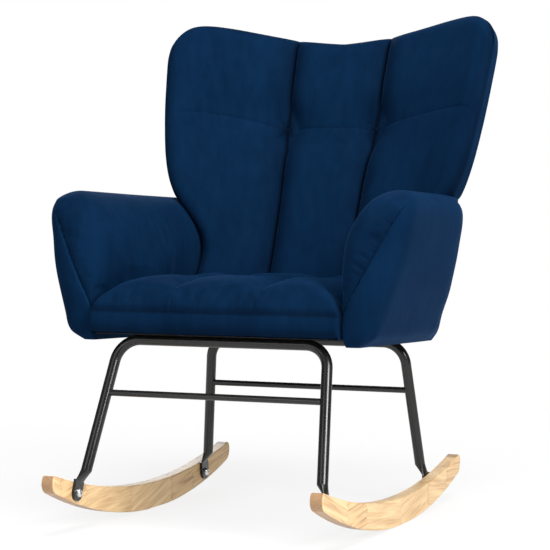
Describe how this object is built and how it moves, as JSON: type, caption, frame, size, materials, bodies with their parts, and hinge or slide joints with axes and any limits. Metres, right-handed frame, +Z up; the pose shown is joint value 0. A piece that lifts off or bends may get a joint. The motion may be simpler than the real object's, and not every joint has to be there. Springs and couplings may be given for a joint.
{
  "type": "rocking chair",
  "caption": "Wing-back upholstered rocking chair in channelled velvet, on a black tubular steel frame with two curved wooden rockers.",
  "frame": {"origin": "on the floor, midway between the rockers, at the middle of the short flat on which they rest", "axes": "+Z up, -Y is the way the sitter faces, +X towards the sitter's left"},
  "size_m": [0.722, 0.8665, 0.9882],
  "materials": {
    "wood_rocker": "clear satin lacquer over glued light wood blocks",
    "frame_wood": "planed pine, unfinished",
    "plywood": "plywood, unfinished",
    "black_steel": "semi-gloss black powder coat",
    "zinc": "bright zinc plated",
    "spring_steel": "dark spring steel",
    "velvet": "short-pile velvet, navy blue",
    "foam": "open-cell polyurethane foam",
    "webbing": "woven elastic webbing",
    "lining": "black non-woven lining"
  },
  "bodies": {
    "root": {"rocker_left": "wood_rocker", "rocker_right": "wood_rocker", "front_leg_frame": "black_steel", "rear_leg_frame": "black_steel", "front_stretcher": "black_steel", "rear_stretcher": "black_steel", "front_mount_tabs": "black_steel", "rear_mount_tabs": "black_steel", "rocker_bolts": "zinc", "rocker_washers": "zinc", "rocker_inserts": "zinc", "seat_bolts": "zinc", "seat_washers": "zinc", "seat_tee_nuts": "zinc", "back_bolts": "zinc", "back_inserts": "zinc", "arm_bolts": "zinc", "arm_tee_nuts": "zinc", "seat_front_rail": "frame_wood", "seat_rear_rail": "frame_wood", "seat_left_rail": "frame_wood", "seat_right_rail": "frame_wood", "seat_corner_blocks": "frame_wood", "arm_left_stump": "frame_wood", "arm_right_stump": "frame_wood", "back_left_post": "frame_wood", "back_right_post": "frame_wood", "back_top_rail": "frame_wood", "back_low_rail": "frame_wood", "seat_front_slat": "plywood", "seat_rear_slat": "plywood", "wing_left_plate": "plywood", "wing_right_plate": "plywood", "arm_left_panel": "plywood", "arm_right_panel": "plywood", "seat_springs": "spring_steel", "seat_spring_clips": "spring_steel", "seat_top_cover": "velvet", "seat_front_border": "velvet", "back_front_cover": "velvet", "back_rear_cover": "velvet", "arm_left_outer_cover": "velvet", "arm_left_inner_cover": "velvet", "arm_right_outer_cover": "velvet", "arm_right_inner_cover": "velvet", "seat_foam": "foam", "back_foam": "foam", "arm_left_foam": "foam", "arm_right_foam": "foam", "back_webbing": "webbing", "dust_cover": "lining"}
  },
  "joints": []
}
